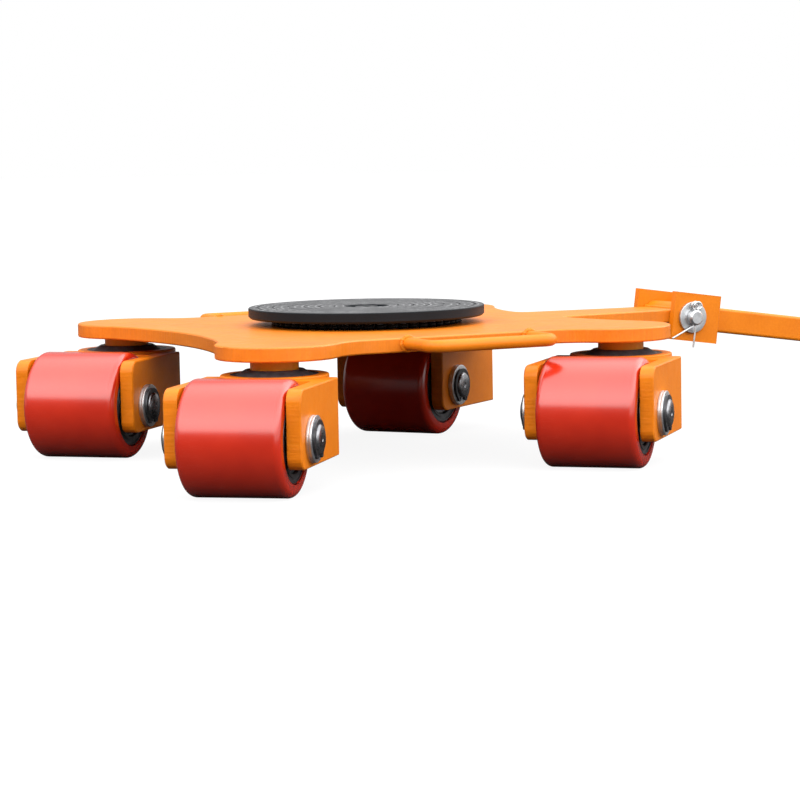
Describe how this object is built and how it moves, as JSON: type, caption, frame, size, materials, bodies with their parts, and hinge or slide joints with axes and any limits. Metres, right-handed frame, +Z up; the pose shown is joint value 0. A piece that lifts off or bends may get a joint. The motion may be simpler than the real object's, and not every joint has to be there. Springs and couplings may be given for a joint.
{
  "type": "steerable machine skate",
  "caption": "Low four-lobed steel deck on swivelling roller forks, with a ball-race turntable on top, side carry handles and a hinged drawbar with a cross grip",
  "frame": {"origin": "centre of the turntable's top face, on its turning axis", "axes": "+X towards the drawbar, +Y to the left of it, +Z up; the floor is at Z = -111.0 mm"},
  "size_m": [1.1169, 0.4461, 0.1124],
  "materials": {
    "orange_paint": "gloss orange enamel",
    "red_tread": "smooth glossy polyurethane",
    "core_steel": "dark turned",
    "bearing_steel": "ground",
    "zinc_steel": "bright zinc plated",
    "black_steel": "black oxide, oiled",
    "black_disc": "satin black, ribbed",
    "black_cage": "moulded",
    "seal_rubber": "semi-matt",
    "black_plastic": "moulded"
  },
  "bodies": {
    "root": {"deck_plate": "orange_paint", "carry_handle_left": "orange_paint", "carry_handle_right": "orange_paint", "tow_tube": "orange_paint", "king_pins": "orange_paint", "swivel_inner_races": "bearing_steel", "king_washers": "zinc_steel", "king_nuts": "zinc_steel", "pivot_pin": "bearing_steel", "keeper_washer": "black_steel", "keeper_screw": "black_steel"},
    "turntable": {"turntable_disc": "black_disc"},
    "ball_ring": {"ball_cage": "black_cage"},
    "caster_rear_right": {"rear_right_fork": "orange_paint", "rear_right_swivel_outer_race": "bearing_steel", "rear_right_swivel_seal": "seal_rubber", "rear_right_axle": "bearing_steel", "rear_right_axle_spacers": "zinc_steel", "rear_right_axle_washers": "zinc_steel", "rear_right_axle_circlips": "black_steel"},
    "roller_rear_right": {"rear_right_tyre": "red_tread", "rear_right_core": "core_steel", "rear_right_wheel_bearings": "bearing_steel"},
    "caster_rear_left": {"rear_left_fork": "orange_paint", "rear_left_swivel_outer_race": "bearing_steel", "rear_left_swivel_seal": "seal_rubber", "rear_left_axle": "bearing_steel", "rear_left_axle_spacers": "zinc_steel", "rear_left_axle_washers": "zinc_steel", "rear_left_axle_circlips": "black_steel"},
    "roller_rear_left": {"rear_left_tyre": "red_tread", "rear_left_core": "core_steel", "rear_left_wheel_bearings": "bearing_steel"},
    "caster_front_left": {"front_left_fork": "orange_paint", "front_left_swivel_outer_race": "bearing_steel", "front_left_swivel_seal": "seal_rubber", "front_left_axle": "bearing_steel", "front_left_axle_spacers": "zinc_steel", "front_left_axle_washers": "zinc_steel", "front_left_axle_circlips": "black_steel"},
    "roller_front_left": {"front_left_tyre": "red_tread", "front_left_core": "core_steel", "front_left_wheel_bearings": "bearing_steel"},
    "caster_front_right": {"front_right_fork": "orange_paint", "front_right_swivel_outer_race": "bearing_steel", "front_right_swivel_seal": "seal_rubber", "front_right_axle": "bearing_steel", "front_right_axle_spacers": "zinc_steel", "front_right_axle_washers": "zinc_steel", "front_right_axle_circlips": "black_steel"},
    "roller_front_right": {"front_right_tyre": "red_tread", "front_right_core": "core_steel", "front_right_wheel_bearings": "bearing_steel"},
    "towbar": {"clevis": "orange_paint", "tow_pin": "zinc_steel", "tow_washers": "zinc_steel", "split_pin": "zinc_steel", "drawbar": "orange_paint", "grip": "orange_paint", "grip_caps": "black_plastic"}
  },
  "joints": [
    {"name": "turntable_spin", "type": "hinge", "parent": "root", "child": "turntable", "pos_m": [0, 0, -0.008], "axis": [0, 0, 1], "continuous": true},
    {"name": "ball_ring_spin", "type": "hinge", "parent": "root", "child": "ball_ring", "pos_m": [0, 0, -0.01075], "axis": [0, 0, 1], "continuous": true},
    {"name": "rear_right_swivel", "type": "hinge", "parent": "root", "child": "caster_rear_right", "pos_m": [-0.141, -0.141, -0.0517], "axis": [0, 0, 1], "continuous": true},
    {"name": "rear_right_roll", "type": "hinge", "parent": "caster_rear_right", "child": "roller_rear_right", "pos_m": [-0.19136, -0.19996, -0.071], "axis": [0.7604, -0.6494, 0], "continuous": true},
    {"name": "rear_left_swivel", "type": "hinge", "parent": "root", "child": "caster_rear_left", "pos_m": [-0.141, 0.141, -0.0517], "axis": [0, 0, 1], "continuous": true},
    {"name": "rear_left_roll", "type": "hinge", "parent": "caster_rear_left", "child": "roller_rear_left", "pos_m": [-0.19487, 0.08522, -0.071], "axis": [0.7193, -0.6947, 0], "continuous": true},
    {"name": "front_left_swivel", "type": "hinge", "parent": "root", "child": "caster_front_left", "pos_m": [0.141, 0.141, -0.0517], "axis": [0, 0, 1], "continuous": true},
    {"name": "front_left_roll", "type": "hinge", "parent": "caster_front_left", "child": "roller_front_left", "pos_m": [0.07867, 0.09488, -0.071], "axis": [0.5948, -0.8039, 0], "continuous": true},
    {"name": "front_right_swivel", "type": "hinge", "parent": "root", "child": "caster_front_right", "pos_m": [0.141, -0.141, -0.0517], "axis": [0, 0, 1], "continuous": true},
    {"name": "front_right_roll", "type": "hinge", "parent": "caster_front_right", "child": "roller_front_right", "pos_m": [0.08665, -0.19631, -0.071], "axis": [0.7133, -0.7009, 0], "continuous": true},
    {"name": "towbar_lift", "type": "hinge", "parent": "root", "child": "towbar", "pos_m": [0.275, 0, -0.02], "axis": [0, -1, 0], "range_deg": [0, 105]}
  ],
  "couplings": [
    {"joint": "ball_ring_spin", "follows": "turntable_spin", "ratio": 0.5}
  ]
}
